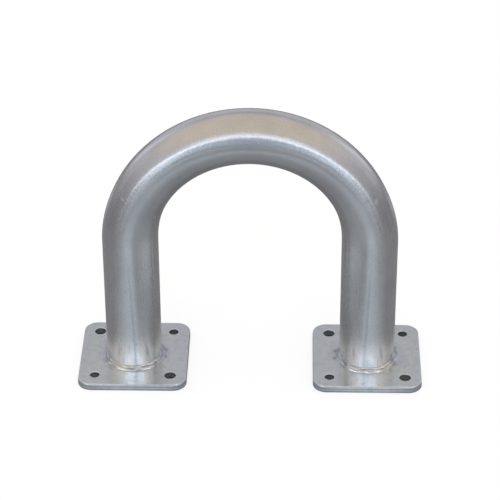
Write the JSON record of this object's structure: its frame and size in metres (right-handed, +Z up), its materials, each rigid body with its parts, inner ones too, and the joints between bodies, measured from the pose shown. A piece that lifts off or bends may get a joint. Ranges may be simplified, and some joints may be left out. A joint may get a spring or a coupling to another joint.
{
  "type": "hoop barrier",
  "caption": "Bolt-down steel hoop that guards a corner or kerb: a tube bent to a half circle on straight legs, each welded to a square base plate.",
  "frame": {"origin": "on the ground, midway between the two legs", "axes": "+X along the hoop towards the right base plate, +Y from front to rear through the hoop, +Z up"},
  "size_m": [0.4738, 0.15, 0.3999],
  "materials": {
    "tube": "bright galvanised, semi-gloss",
    "plate": "bright galvanised, satin",
    "weld": "galvanised weld bead, rippled"
  },
  "bodies": {
    "root": {"hoop_tube": "tube", "base_plate_left": "plate", "base_plate_right": "plate", "weld_left": "weld", "weld_right": "weld"}
  },
  "joints": []
}
